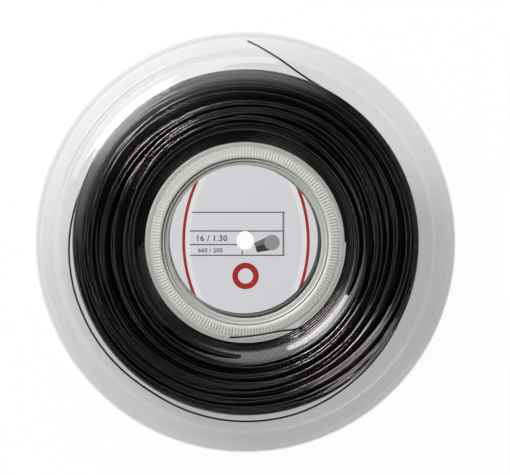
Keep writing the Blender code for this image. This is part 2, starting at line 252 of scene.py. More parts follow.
class StudioSettings(bpy.types.PropertyGroup):
    """Camera, floor, lamps and world."""

    camera_height: size("Camera height", "Height of the camera above the bench", 1.6)
    lens: share("Lens", "Focal length in millimetres", 176.0)
    shift_x: share("Shift X", "Sideways framing, in widths of the picture", 0.0188, precision=4)
    shift_y: share("Shift Y", "Upward framing, in widths of the picture", 0.0092, precision=4)
    lamp_azimuth: bearing("Lamp azimuth", "Where the soft boxes stand", 132.0)
    lamp_distance: size("Lamp distance", "Distance of the soft boxes", 4.0)
    main_strength: share("Main strength", "Brightness of the large soft box", 22.7)
    high_strength: share("High strength", "Brightness of the soft box above it", 3.5)
    panel_strength: share("Panel strength", "Brightness of the panel overhead", 1.15)
    glow_strength: share("Glow strength", "Brightness of the glow round the large soft box", 2.0)
    wall_strength: share("Wall strength", "Brightness of the wall opposite", 0.06)
    room_strength: share("Room strength", "Brightness of the rest of the room", 0.003)


# Working on meshes


def nothing_selected():
    if bpy.context.object and bpy.context.object.mode != "OBJECT":
        bpy.ops.object.mode_set(mode="OBJECT")
    bpy.ops.object.select_all(action="DESELECT")


def select_only(first, *others):
    """Selects these pieces alone, with the first one active."""
    nothing_selected()
    for piece in (first, *others):
        piece.select_set(True)
    bpy.context.view_layer.objects.active = first


def edit(piece):
    """Opens one piece in edit mode with nothing in it selected."""
    select_only(piece)
    bpy.ops.object.mode_set(mode="EDIT")
    bpy.ops.mesh.select_mode(type="VERT")
    bpy.ops.mesh.select_all(action="DESELECT")


def select_whole():
    """Selects the whole mesh, in edit mode."""
    bpy.ops.mesh.select_all(action="SELECT")


def place_in_mesh():
    """Puts the selected piece's place, turn and scale into its mesh."""
    bpy.ops.object.transform_apply(location=True, rotation=True, scale=True)


def add_object(name, data):
    piece = bpy.data.objects.new(name, data)
    bpy.context.scene.collection.objects.link(piece)
    return piece


def select_corners(piece, wanted):
    """Selects, in edit mode, the vertices whose place passes the test."""
    bpy.ops.mesh.select_all(action="DESELECT")
    bpy.ops.object.mode_set(mode="OBJECT")
    for corner in piece.data.vertices:
        corner.select = bool(wanted(corner.co))
    bpy.ops.object.mode_set(mode="EDIT")


def traced_section(name, section, closed=True):
    """Extrudes a single vertex along a half section, a list of (radius, height over the middle plane)."""
    nothing_selected()
    radius, height = section[0]
    bpy.ops.mesh.primitive_plane_add(size=0.001, location=(radius, 0, MIDDLE + height))
    piece = bpy.context.object
    piece.name = piece.data.name = name
    place_in_mesh()
    bpy.ops.object.mode_set(mode="EDIT")
    bpy.ops.mesh.merge(type="CENTER")
    ends = list(section) + ([section[0]] if closed else [])
    for (radius, height), (next_radius, next_height) in zip(ends, ends[1:]):
        bpy.ops.mesh.extrude_vertices_move(
            TRANSFORM_OT_translate={"value": (next_radius - radius, 0, next_height - height)}
        )
    select_whole()
    bpy.ops.mesh.remove_doubles(threshold=1e-6)
    return piece


def supported(section, reaches):
    """Adds points on the straights beside the corners, where the shading of the rounding is to end.

    reaches gives each corner's distance to these points, or none for a corner without them.
    """
    more = []
    for start, end in zip(section, section[1:] + section[:1]):
        more.append(start)
        length = math.dist(start, end)
        before, after = reaches.get(start, 0.0), reaches.get(end, 0.0)
        if length > 1.1 * (before + after):
            parts = ([before / length] if before else []) + ([1 - after / length] if after else [])
            for part in parts:
                more.append(tuple(a + (b - a) * part for a, b in zip(start, end)))
    return more


def near(section):
    """A test for vertices at one of the places of a half section."""
    places = [Vector((radius, 0, MIDDLE + height)) for radius, height in section]
    return lambda spot: any((spot - place).length < 1e-5 for place in places)


def round_corners(piece, section, width, segments):
    select_corners(piece, near(section))
    bpy.ops.mesh.bevel(offset_type="OFFSET", offset=width, segments=segments, affect="VERTICES")


def spin_round(steps, angle=math.tau, copies=False):
    select_whole()
    bpy.ops.mesh.spin(steps=steps, angle=angle, dupli=copies, center=(0, 0, 0), axis=(0, 0, 1))
    select_whole()
    bpy.ops.mesh.remove_doubles(threshold=2e-6)
    bpy.ops.mesh.normals_make_consistent(inside=False)


def finish_mesh(smooth_under):
    bpy.ops.object.mode_set(mode="OBJECT")
    bpy.ops.object.shade_smooth_by_angle(angle=math.radians(smooth_under))


def turned_over(piece, name):
    """A copy with its own mesh, turned over about the Y axis through the reel's middle."""
    copy = piece.copy()
    copy.data = piece.data.copy()
    copy.name = copy.data.name = name
    bpy.context.scene.collection.objects.link(copy)
    middle = Matrix.Translation((0, 0, MIDDLE))
    copy.data.transform(middle @ Matrix.Rotation(math.pi, 4, "Y") @ middle.inverted())
    return copy


def dressed(piece, material, node):
    """Gives a piece its material, and sets it in the frame in place of its CAD node."""
    piece.data.materials.clear()
    piece.data.materials.append(material)
    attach(piece, "root")
    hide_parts(node)


def dressed_pair(front, rear, material, node):
    """Dresses a front piece and its rear twin."""
    dressed(front, material, f"front_{node}")
    dressed(rear, material, f"rear_{node}")


# Materials


def new_material(name):
    material = bpy.data.materials.new(name)
    material.use_nodes = True
    tree = material.node_tree
    return material, tree, tree.nodes["Principled BSDF"]


def fill(tree, node, inputs):
    """Links each input whose value is a socket, and sets any other."""
    for key, value in inputs.items():
        socket = node.inputs[key]
        if isinstance(value, bpy.types.NodeSocket):
            tree.links.new(value, socket)
        elif socket.type == "RGBA":
            socket.default_value = (*value[:3], 1.0)
        else:
            socket.default_value = value


def add_node(tree, kind, inputs=None, **settings):
    """Adds a shader node with its settings, and then its inputs linked or set."""
    node = tree.nodes.new("ShaderNode" + kind)
    for key, value in settings.items():
        setattr(node, key, value)
    fill(tree, node, inputs or {})
    return node


def maths(tree, operation, *values):
    return add_node(tree, "Math", dict(enumerate(values)), operation=operation).outputs[0]


def vector_maths(tree, operation, *values, result="Vector"):
    return add_node(tree, "VectorMath", dict(enumerate(values)), operation=operation).outputs[result]


def along_way(tree, place, way):
    """How far a place lies along a level way, given as (x, y)."""
    return vector_maths(tree, "DOT_PRODUCT", place, (*way, 0.0), result="Value")


def shared_group(name, inputs, outputs, build):
    """The shader group of this name, which is made on its first use.

    inputs has each one's default, or none for a vector. build gives the sockets of the outputs.
    """
    group = bpy.data.node_groups.get(name)
    if group:
        return group
    group = bpy.data.node_groups.new(name, "ShaderNodeTree")
    for label, default in inputs.items():
        kind = "NodeSocketVector" if default is None else "NodeSocketFloat"
        socket = group.interface.new_socket(name=label, in_out="INPUT", socket_type=kind)
        if default is not None:
            socket.default_value = default
    for label in outputs:
        group.interface.new_socket(name=label, in_out="OUTPUT", socket_type="NodeSocketFloat")
    made = build(group, group.nodes.new("NodeGroupInput").outputs)
    fill(group, group.nodes.new("NodeGroupOutput"), dict(zip(outputs, made)))
    return group


def moulded_surface_group():
    """Fine moulding grain and slow waves: a mask for colour and roughness, and a height for a bump."""

    def build(group, given):
        grain, waves = (
            add_node(group, "TexNoise", {"Vector": given["Vector"], "Scale": given[scale], "Detail": detail})
            for scale, detail in (("Grain Scale", 2.0), ("Wave Scale", 1.0))
        )
        grain, waves = grain.outputs["Fac"], waves.outputs["Fac"]
        mixed = add_node(group, "Mix", {"Factor": given["Grain Share"], "A": waves, "B": grain})
        return waves, mixed.outputs["Result"]

    inputs = {"Vector": None, "Grain Scale": 900.0, "Wave Scale": 25.0, "Grain Share": 0.3}
    return shared_group("moulded_surface", inputs, ("Mask", "Height"), build)


def moulded_surface(tree, grain_scale, wave_scale, grain_share):
    place = add_node(tree, "TexCoord").outputs["Object"]
    inputs = {
        "Vector": place, "Grain Scale": grain_scale, "Wave Scale": wave_scale, "Grain Share": grain_share
    }
    return add_node(tree, "Group", inputs, node_tree=moulded_surface_group()).outputs


def spread(tree, value, low, high):
    """Maps a mask that lies about 0.3 to 0.7 onto a range."""
    inputs = {"Value": value, "From Min": 0.3, "From Max": 0.7, "To Min": low, "To Max": high}
    return add_node(tree, "MapRange", inputs).outputs["Result"]


def ramp(tree, value, nothing, full):
    """A soft step from 0 at one value to 1 at another."""
    inputs = {"Value": value, "From Min": nothing, "From Max": full, "To Min": 0.0, "To Max": 1.0}
    return add_node(tree, "MapRange", inputs, interpolation_type="SMOOTHSTEP").outputs["Result"]


def blended(tree, mask, first, second):
    """A colour between two, each of them a socket or plain."""
    inputs = {"Factor": mask, "A": first, "B": second}
    return add_node(tree, "Mix", inputs, data_type="RGBA").outputs["Result"]


def bump(tree, height, strength, distance=0.0001):
    inputs = {"Strength": strength, "Distance": distance, "Height": height}
    return add_node(tree, "Bump", inputs).outputs["Normal"]


def mixed_shaders(tree, part, first, second):
    return add_node(tree, "MixShader", {0: part, 1: first, 2: second}).outputs["Shader"]


def show(tree, shader):
    fill(tree, tree.nodes["Material Output"], {"Surface": shader})


def finish_shader(tree, shader, surface, base, roughness, bumps, more=None):
    """Sets a plain shader, whose roughness varies over the surface between two values."""
    rough = spread(tree, surface["Mask"], *roughness)
    normal = bump(tree, surface["Height"], bumps)
    fill(tree, shader, {"Base Color": base, "Roughness": rough, "Normal": normal, **(more or {})})


def clear_plastic(settings):
    """Thin clear plastic: what lies behind shows unbent, under a mirror that grows towards the edges."""
    material, tree, shader = new_material("clear_plastic")
    surface = moulded_surface(tree, 600.0, 14.0, 0.05)
    ripple = bump(tree, surface["Height"], 0.05, 0.0002)
    base = blended(tree, surface["Mask"], (0.80, 0.80, 0.80), (0.76, 0.77, 0.77))
    fill(tree, shader, {"Base Color": base, "Normal": ripple, "Roughness": 0.3})
    clear = add_node(tree, "BsdfTransparent", {"Color": settings.tint}).outputs["BSDF"]
    hazy = mixed_shaders(tree, settings.haze, clear, shader.outputs["BSDF"])
    polish = spread(tree, surface["Mask"], 0.015, 0.03)
    mirror = add_node(tree, "BsdfGlossy", {"Color": (1, 1, 1), "Normal": ripple, "Roughness": polish})
    edge = add_node(tree, "LayerWeight", {"Blend": 0.5, "Normal": ripple}).outputs["Facing"]
    mirrored = maths(tree, "MULTIPLY_ADD", maths(tree, "POWER", edge, 5.0), 0.9, settings.mirror)
    show(tree, mixed_shaders(tree, mirrored, hazy, mirror.outputs["BSDF"]))
    return material


def hub_plastic(settings):
    """Natural moulded plastic, a little translucent. The ribbed ring is paler: painted light, for the
    brightness that shows through it.
    """
    material, tree, shader = new_material("hub_plastic")
    surface = moulded_surface(tree, 1500.0, 60.0, 0.35)
    body, darker, painted_light_paler = ([part * tone for part in settings.body] for tone in (1.0, 0.94, 1.3))
    flat = vector_maths(tree, "MULTIPLY", add_node(tree, "TexCoord").outputs["Object"], (1, 1, 0))
    on_ribs = ramp(tree, vector_maths(tree, "LENGTH", flat, result="Value"), 0.0533, 0.0538)
    # Painted light: the ribbed ring takes a paler copy of the body's colour
    base = blended(tree, on_ribs, blended(tree, surface["Mask"], body, darker), painted_light_paler)
    glow_through = {
        "Subsurface Weight": 0.5, "Subsurface Radius": (1.0, 1.0, 0.9), "Subsurface Scale": 0.003
    }
    finish_shader(tree, shader, surface, base, (0.28, 0.40), 0.15, glow_through)
    return material


def black_string(settings, name="black_string", painted_shade_dimmer=1.0):
    """Polished black monofilament with a warm tint. The last argument takes down its colour and its gloss, as
    painted shade.
    """
    material, tree, shader = new_material(name)
    surface = moulded_surface(tree, 500.0, 45.0, 0.5)
    # Painted shade: the last argument darkens the colour, and lowers the gloss below
    tint = [part * painted_shade_dimmer for part in settings.tint]
    warmer = (tint[0] * 1.8, tint[1] * 1.35, tint[2] * 1.4)
    gloss = {
        "IOR": 1.78,
        "Specular IOR Level": painted_shade_dimmer,
        "Specular Tint": (1.0, 0.93, 0.93),
        "Coat Weight": 0.8 * painted_shade_dimmer,
        "Coat Roughness": 0.16,
    }
    base = blended(tree, surface["Mask"], tint, warmer)
    finish_shader(tree, shader, surface, base, (0.20, 0.26), 0.06, gloss)
    return material


# The string


def string_curve(name, points, sides=2):
    """A tube of the string's diameter along the points, as a curve of one open spline."""
    data = bpy.data.curves.new(name, "CURVE")
    data.dimensions = "3D"
    data.bevel_depth = STRING_RADIUS
    data.bevel_resolution = sides
    data.use_fill_caps = True
    spline = data.splines.new("POLY")
    spline.points.add(len(points) - 1)
    flat = np.ones((len(points), 4))
    flat[:, :3] = points
    spline.points.foreach_set("co", flat.ravel())
    spline.use_smooth = True
    return add_object(name, data)


def smooth_route(route, number):
    """Points at even steps along a smooth curve through the route's own points."""
    route = [Vector(place) for place in route]
    padded = [route[0] * 2 - route[1], *route, route[-1] * 2 - route[-2]]
    fine = []
    for a, b, c, d in zip(padded, padded[1:], padded[2:], padded[3:]):
        squared, cubed = 2 * a - 5 * b + 4 * c - d, 3 * b - a - 3 * c + d
        for t in np.arange(12) / 12:
            fine.append(0.5 * (2 * b + (c - a) * t + squared * t**2 + cubed * t**3))
    fine = np.array([*fine, route[-1]])
    along = np.concatenate([[0.0], np.cumsum(np.linalg.norm(np.diff(fine, axis=0), axis=1))])
    wanted = np.linspace(0, along[-1], number)
    return np.column_stack([np.interp(wanted, along, fine[:, axis]) for axis in range(3)])


def free_end_points():
    places = [
        (radius * math.cos(math.radians(angle)), radius * math.sin(math.radians(angle)), height)
        for angle, radius, height in FREE_END_ROUTE
    ]
    return smooth_route(places, FREE_END_POINTS)


def inner_tail_points():
    return smooth_route(INNER_TAIL_ROUTE, INNER_TAIL_POINTS)


def room_over(radius):
    """The height over the middle plane of a string's centre that lies against the flange's inner face."""
    inside = np.array(FLANGE_INSIDE[::-1])
    steps = (-STRING_RADIUS, 0.0, STRING_RADIUS)
    faces = [np.interp(radius + step, inside[:, 0], inside[:, 1]) for step in steps]
    return np.minimum.reduce(faces) - FLANGE_GAP - STRING_RADIUS


def slow_waves(turns, rhythm, drift, chance):
    """A smooth wander along the path: each turn nearly repeats the one before, and drifts from it."""
    total = np.zeros_like(turns)
    for beat, size in rhythm:
        slip = drift * chance.uniform(0.5, 1.5) * chance.choice((-1, 1))
        total += size * np.cos(math.tau * ((beat + slip) * turns + chance.uniform()))
    return total


def spread_along(moves, width):
    """Smooths moves along the path, which runs on from each turn's last slice to the next turn's first."""
    flat = moves.ravel()
    reach = 3 * width
    weights = np.exp(-0.5 * (np.arange(-reach, reach + 1) / width) ** 2)
    padded = np.pad(flat, reach, mode="edge")
    return np.convolve(padded, weights / weights.sum(), mode="valid").reshape(moves.shape)


def settle(radii, heights, fixed, keep_in, rounds):
    """Pushes turns that lie in each other apart, slice by slice, until each lies beside or on the next.

    radii and heights have a row for each turn and a column for each slice. fixed is the same for
    turns that stay, and keep_in puts a turn back within the flanges.
    """

    def pushes(across, up):
        apart = np.sqrt(across**2 + up**2) + 1e-9
        push = np.clip(TOUCHING - apart, 0, None) / apart
        return push * across, push * up

    for _ in range(rounds):
        outward, upward = np.zeros_like(radii), np.zeros_like(heights)
        for step in range(1, MET_TURNS + 1):
            out, up = pushes(radii[step:] - radii[:-step], heights[step:] - heights[:-step])
            outward[step:] += out / 2
            outward[:-step] -= out / 2
            upward[step:] += up / 2
            upward[:-step] -= up / 2
        for fixed_radii, fixed_heights in zip(*fixed):
            out, up = pushes(radii - fixed_radii, heights - fixed_heights)
            outward += out
            upward += up
        outward, upward = (
            spread_along(np.clip(move, -FURTHEST_MOVE, FURTHEST_MOVE), SMOOTHED_OVER)
            for move in (outward, upward)
        )
        radii, heights = keep_in(radii + outward, heights + upward)
    return radii, heights


def at_slices(points):
    """A route's radius and height at each slice, with a row for each lap, and far away where it isn't."""
    angles = np.unwrap(np.arctan2(points[:, 1], points[:, 0]))
    if angles[-1] < angles[0]:
        points, angles = points[::-1], angles[::-1]
    radii = np.hypot(points[:, 0], points[:, 1])
    heights = points[:, 2] - MIDDLE
    slice_angles = np.arange(SLICES) * math.tau / SLICES
    laps = ([], [])
    for lap in range(-2, 3):
        wanted = slice_angles + lap * math.tau
        there = (wanted >= angles[0] - 0.02) & (wanted <= angles[-1] + 0.02)
        if there.any():
            for rows, measures in zip(laps, (radii, heights)):
                rows.append(np.where(there, np.interp(wanted, angles, measures), FAR_AWAY))
    return tuple(np.array(rows) for rows in laps)


def joined_turns(*groups):
    return tuple(np.concatenate([group[part] for group in groups]) for part in (0, 1))


def path_of(radii, heights):
    """The points of a path that goes through its turns' slices in order."""
    angles = np.tile(np.arange(SLICES) * math.tau / SLICES, len(radii))
    flat = radii.ravel()
    return np.column_stack([flat * np.cos(angles), flat * np.sin(angles), MIDDLE + heights.ravel()])


def side_of_winding(settings, seed, out_radius, fixed):
    """The turns that show through one flange, as radii and heights over the middle plane."""
    chance = np.random.default_rng(seed)
    number = settings.side_turns
    turns = np.arange(number * SLICES) / SLICES
    neat_out = settings.in_radius + settings.neat_turns * STRING_DIAMETER * 1.03
    base = np.interp(
        turns,
        [0, settings.neat_turns, number - EDGE_TURNS, number],
        [settings.in_radius, neat_out, EDGE_STARTS, out_radius],
    )
    # Turns lie neatly beside the drum, roam in the middle, and are held in at the outside
    freedom = np.interp(base, [neat_out - 0.002, neat_out + 0.005, 0.103, 0.109], [0.04, 1.0, 1.0, 0.3])
    together = slow_waves(turns, [(1, 0.6), (2, 0.5), (3, 0.3), (0, 0.5)], 0.035, chance)
    alone = slow_waves(turns, [(1, 0.55), (2, 0.45), (3, 0.2), (0, 0.6)], 0.23, chance)
    bundled = np.sin(math.tau * base / settings.bundle_pitch + 1.2 * together)
    radii = base + freedom * (settings.wander * together + settings.stray * alone + BUNDLING * bundled)
    # A turn lies up against the flange for part of a lap, and dips under the others again
    surfacing = slow_waves(turns, [(0, 0.6), (1, 0.5), (2, 0.25)], 0.37, chance)
    held_up = np.interp(base, [neat_out, neat_out + 0.003, 0.098, 0.103], [1.5, 0.0, 0.0, 1.0])
    surfacing = surfacing + held_up
    depths = settings.depth * np.clip((-0.2 - surfacing) / 0.3, 0, 1)
    depths = depths + 0.0005 * (1 + np.sin(3.1 * alone)) * freedom
    # The neat turns lie deeper on the side that is away from the inner end
    lean = 1 + LEAN * np.cos(math.tau * turns - LEAN_WAY)
    neat = np.interp(base, [neat_out - 0.001, neat_out + 0.004], [settings.neat_depth, 0.0])
    depths = depths + lean * neat

    def keep_in(radii, heights):
        radii = np.clip(radii, settings.in_radius, out_radius)
        top = room_over(radii)
        return radii, np.clip(heights, top - DEEPEST, top)

    radii = np.clip(radii, settings.in_radius, out_radius)
    heights = room_over(radii) - depths
    shape = (number, SLICES)
    return settle(radii.reshape(shape), heights.reshape(shape), fixed, keep_in, SIDE_ROUNDS)


def outside_of_winding(settings, seed, fixed):
    """The outermost layer, from the front flange to the rear one."""
    chance = np.random.default_rng(seed)
    number = settings.layer_turns
    turns = np.arange(number * SLICES) / SLICES
    top = float(room_over(np.array([settings.out_radius]))[0]) - STRING_DIAMETER
    heights = top - 2 * top * turns / number
    heights = heights + 0.0012 * slow_waves(turns, [(1, 0.5), (2, 0.4)], 0.12, chance)
    radii = settings.out_radius - 0.0012 * np.clip(
        0.4 + 0.5 * slow_waves(turns, [(0, 0.5), (1, 0.6)], 0.3, chance), 0, 1.2
    )

    def keep_in(radii, heights):
        radii = np.clip(radii, settings.out_radius - 0.004, settings.out_radius)
        limit = room_over(radii)
        return radii, np.clip(heights, -limit, limit)

    shape = (number, SLICES)
    return settle(radii.reshape(shape), heights.reshape(shape), fixed, keep_in, OUTSIDE_ROUNDS)


# The label's print


def printed_rule_group():
    """A mask of a straight rule from Start to End, at Level across it, of a given Width."""

    def build(group, given):
        off = maths(group, "ABSOLUTE", maths(group, "SUBTRACT", given["Across"], given["Level"]))
        on_level = maths(group, "LESS_THAN", off, maths(group, "MULTIPLY", given["Width"], 0.5))
        past_start = maths(group, "GREATER_THAN", given["Along"], given["Start"])
        before_end = maths(group, "LESS_THAN", given["Along"], given["End"])
        return (maths(group, "MULTIPLY", on_level, maths(group, "MULTIPLY", past_start, before_end)),)

    inputs = {"Across": 0.0, "Along": 0.0, "Level": 0.0, "Start": 0.0, "End": 1.0, "Width": 1.0}
    return shared_group("printed_rule", inputs, ("Mask",), build)


def printed_arc_group():
    """A mask of a band of a circle."""

    def build(group, given):
        squares = [
            maths(group, "POWER", maths(group, "SUBTRACT", given[axis], given[f"Centre {axis}"]), 2.0)
            for axis in "XY"
        ]
        away = maths(group, "SQRT", maths(group, "ADD", *squares))
        off = maths(group, "ABSOLUTE", maths(group, "SUBTRACT", away, given["Radius"]))
        return (maths(group, "LESS_THAN", off, maths(group, "MULTIPLY", given["Width"], 0.5)),)

    inputs = {"X": 0.0, "Y": 0.0, "Centre X": 0.0, "Centre Y": 0.0, "Radius": 10.0, "Width": 1.0}
    return shared_group("printed_arc", inputs, ("Mask",), build)


def label_paper(settings):
    """Pale satin stock with red arcs, a red ring and grey rules, in millimetres on the label's own map."""
    material, tree, shader = new_material("label_paper")
    print_map = add_node(tree, "UVMap", uv_map="print").outputs["UV"]
    spot = vector_maths(tree, "MULTIPLY_ADD", print_map, (100.0, 100.0, 0.0), (-50.0, -50.0, 0.0))
    part = add_node(tree, "SeparateXYZ", {"Vector": spot}).outputs
    x, y = part["X"], part["Y"]

    def arc(centre_x, centre_y, radius, width):
        inputs = {"Centre X": centre_x, "Centre Y": centre_y, "Radius": radius, "Width": width}
        inputs.update(X=x, Y=y)
        return add_node(tree, "Group", inputs, node_tree=printed_arc_group()).outputs["Mask"]

    def rule(across, along, level, start, end, width=0.75):
        inputs = dict(Across=across, Along=along, Level=level, Start=start, End=end, Width=width)
        return add_node(tree, "Group", inputs, node_tree=printed_rule_group()).outputs["Mask"]

    def any_of(*masks):
        total = masks[0]
        for mask in masks[1:]:
            total = maths(tree, "MAXIMUM", total, mask)
        return total

    # Bowed arcs: each is part of a circle whose centre is across the label
    left, right = 50.9, -50.2
    pale_bands = any_of(*(arc(centre, 0.75, 87.4, 3.2) for centre in (left, right)))
    red = any_of(*(arc(centre, 0.75, 90.0, 1.9) for centre in (left, right)), arc(0.1, -21.4, 6.6, 3.6))
    # The frame's right side is scalloped like a stamp's
    scallop = maths(tree, "ABSOLUTE", maths(tree, "SINE", maths(tree, "MULTIPLY", y, 1.65)))
    scalloped = maths(tree, "SUBTRACT", x, maths(tree, "MULTIPLY", scallop, 0.75))
    rules = any_of(
        rule(y, x, 18.95, -33.8, 24.8),
        rule(y, x, 7.05, -35.4, 23.7),
        rule(y, x, -1.5, -35.4, -5.2),
        rule(y, x, -8.3, -35.0, 24.9),
        rule(x, y, -2.0, -8.3, -5.3),
        rule(scalloped, y, 23.6, -8.6, 19.3, 0.95),
        maths(tree, "GREATER_THAN", x, INKED_FROM),
    )
    # A plain round string end, drawn in greys: its body runs down to the left of its cut face
    face_x, face_y, lean = 16.9, -0.2, math.radians(17.7)
    from_face = vector_maths(tree, "SUBTRACT", spot, (face_x, face_y, 0.0))
    along = along_way(tree, from_face, (math.cos(lean), math.sin(lean)))
    across = along_way(tree, from_face, (-math.sin(lean), math.cos(lean)))
    body = rule(across, along, 0.0, -11.0, 0.0, maths(tree, "MULTIPLY_ADD", along, 0.3, 9.4))
    drawn = blended(tree, spread(tree, across, 0.0, 1.0), (0.055, 0.05, 0.05), (0.20, 0.19, 0.185))
    surface = moulded_surface(tree, 2500.0, 40.0, 0.6)
    print_ = blended(tree, surface["Mask"], settings.paper, [tone * 0.965 for tone in settings.paper])
    for mask, ink in (
        (pale_bands, settings.pale),
        (rules, settings.grey),
        (red, settings.red),
        (body, drawn),
        (arc(face_x, face_y, 2.45, 4.9), (0.36, 0.35, 0.345)),
    ):
        print_ = blended(tree, mask, print_, ink)
    finish_shader(tree, shader, surface, print_, (0.38, 0.5), 0.08)
    return material


# Operators


class REEL_OT_add_flanges(bpy.types.Operator):
    """Models the two clear flanges."""

    bl_idname = "reel.add_flanges"
    bl_label = "Add Flanges"

    def execute(self, context):
        settings = context.scene.reel_flange
        section = FLANGE_FACE + FLANGE_RIM + FLANGE_INSIDE
        shallow = FLANGE_FACE[1:5] + FLANGE_FACE[9:11] + FLANGE_FACE[12:13] + FLANGE_INSIDE[3:10]
        sharp = [spot for spot in section if spot not in shallow + FLANGE_FACE[5:9]]
        reaches = {spot: settings.shallow_round + 0.0003 for spot in shallow}
        reaches.update({spot: settings.sharp_round + 0.0002 for spot in sharp})
        front = traced_section("clear_flange_front", supported(section, reaches))
        round_corners(front, shallow, settings.shallow_round, 4)
        round_corners(front, sharp, settings.sharp_round, 3)
        spin_round(settings.steps)
        finish_mesh(40)
        rear = turned_over(front, "clear_flange_rear")
        self.cut_slot(front, settings)
        dressed_pair(front, rear, clear_plastic(settings), "flange")
        return {"FINISHED"}

    def cut_slot(self, flange, settings):
        """Cuts away the inner edge where the string's inner end comes through."""
        nothing_selected()
        radius, height = FLANGE_FACE[0]
        turn = settings.slot_angle
        place = (radius * math.cos(turn), radius * math.sin(turn), MIDDLE + height)
        bpy.ops.mesh.primitive_cube_add(size=1.0, location=place, rotation=(0, 0, turn))
        cutter = bpy.context.object
        cutter.scale = (settings.slot_depth * 2, settings.slot_length, 0.01)
        edit(cutter)
        select_whole()
        bpy.ops.mesh.bevel(offset=0.12, segments=3, affect="EDGES")
        select_only(flange)
        cut = flange.modifiers.new("slot", "BOOLEAN")
        cut.operation, cut.solver, cut.object = "DIFFERENCE", "EXACT", cutter
        bpy.ops.object.modifier_apply(modifier=cut.name)
        bpy.data.objects.remove(cutter, do_unlink=True)


class REEL_OT_add_hub(bpy.types.Operator):
    """Models the hub's two halves, with ribs round the outer ring."""

    bl_idname = "reel.add_hub"
    bl_label = "Add Hub"

    def execute(self, context):
        settings = context.scene.reel_hub
        (in_radius, in_height), (out_radius, out_height) = RIB_RING
        slope = [
            (in_radius + (out_radius - in_radius) * part, in_height + (out_height - in_height) * part)
            for part in (0.06, 0.12, 0.25, 0.5, 0.75, 0.9, 0.96)
        ]
        front = traced_section("hub_half_front", (*HUB_TOP, *slope, *HUB_UNDER))
        round_corners(front, HUB_TOP[1:-1], settings.edge_round, 2)
        slice_angle = math.tau / settings.ribs
        spin_round(4, angle=slice_angle)
        crest = slice_angle / 2
        for width, part in ((0.3, 0.62), (0.05, 0.38)):
            select_corners(
                front,
                lambda spot: (
                    slope[1][0] - 1e-5 < math.hypot(spot.x, spot.y) < slope[-2][0] + 1e-5
                    and spot.z > MIDDLE + out_height - 1e-5
                    and abs(abs(math.atan2(spot.y, spot.x)) - crest) < slice_angle * width
                ),
            )
            bpy.ops.transform.translate(value=(0, 0, settings.rib_height * part))
        spin_round(settings.ribs, copies=True)
        finish_mesh(35)
        rear = turned_over(front, "hub_half_rear")
        dressed_pair(front, rear, hub_plastic(settings), "hub_half")
        return {"FINISHED"}


class REEL_OT_add_labels(bpy.types.Operator):
    """Models the two labels and their print."""

    bl_idname = "reel.add_labels"
    bl_label = "Add Labels"

    def execute(self, context):
        settings = context.scene.reel_label
        nothing_selected()
        base = MIDDLE + settings.base
        bpy.ops.mesh.primitive_circle_add(
            vertices=192, radius=settings.radius, location=(settings.offset_x, settings.offset_y, base)
        )
        front = context.object
        front.name = front.data.name = "printed_label_front"
        place_in_mesh()
        bpy.ops.object.mode_set(mode="EDIT")
        bpy.ops.mesh.primitive_circle_add(
            vertices=192, radius=settings.hole_radius, location=(settings.hole_x, settings.hole_y, base)
        )
        select_whole()
        bpy.ops.mesh.bridge_edge_loops()
        select_whole()
        bpy.ops.mesh.extrude_region_move(TRANSFORM_OT_translate={"value": (0, 0, settings.thickness)})
        select_whole()
        bpy.ops.mesh.normals_make_consistent(inside=False)
        finish_mesh(30)
        rim = front.modifiers.new("soft_edge", "BEVEL")
        rim.width, rim.segments, rim.limit_method = settings.thickness * 0.3, 2, "ANGLE"
        bpy.ops.object.modifier_apply(modifier=rim.name)
        top = base + settings.thickness
        rows = (("16 / 1.30", 1.0, -0.0315, 0.0007), ("660 / 200", 0.72, -0.0300, -0.0064))
        numbers = [
            self.number_row(text, settings.number_rows * part, x, y, top) for text, part, x, y in rows
        ]
        select_only(front, *numbers)
        bpy.ops.object.join()
        # The numbers are mapped beyond the label's edge, where the print is all ink
        print_map = front.data.uv_layers.new(name="print")
        for corner in front.data.loops:
            spot = front.data.vertices[corner.vertex_index].co
            inked = spot.z > top + 0.000002
            place = (0.99, 0.5) if inked else (spot.x * 10 + 0.5, spot.y * 10 + 0.5)
            print_map.data[corner.index].uv = place
        rear = turned_over(front, "printed_label_rear")
        dressed_pair(front, rear, label_paper(settings), "label")
        return {"FINISHED"}

    def number_row(self, text, height, x, y, top):
        """Plain numbers as a film of ink on the label."""
        nothing_selected()
        bpy.ops.object.text_add(location=(x, y, top + 0.00001))
        row = bpy.context.object
        row.data.body = text
        row.data.size = height / 0.7
        row.data.extrude = 0.000006
        row.data.offset = height * 0.03
        row.data.space_character = 1.06
        row.data.resolution_u = 3
        bpy.ops.object.convert(target="MESH")
        place_in_mesh()
        return row


class REEL_OT_add_free_ends(bpy.types.Operator):
    """Lays the string's loose last turn with its free end, and its inner end over the hub's edge."""

    bl_idname = "reel.add_free_ends"
    bl_label = "Add Free Ends"

    def execute(self, context):
        material = black_string(context.scene.reel_winding, "black_string_free")
        for name, node, points in (
            ("loose_outer_end", "string_free_end", free_end_points()),
            ("inner_end", "string_inner_tail", inner_tail_points()),
        ):
            cord = string_curve(name, points, sides=3)
            dressed(cord, material, node)
        return {"FINISHED"}


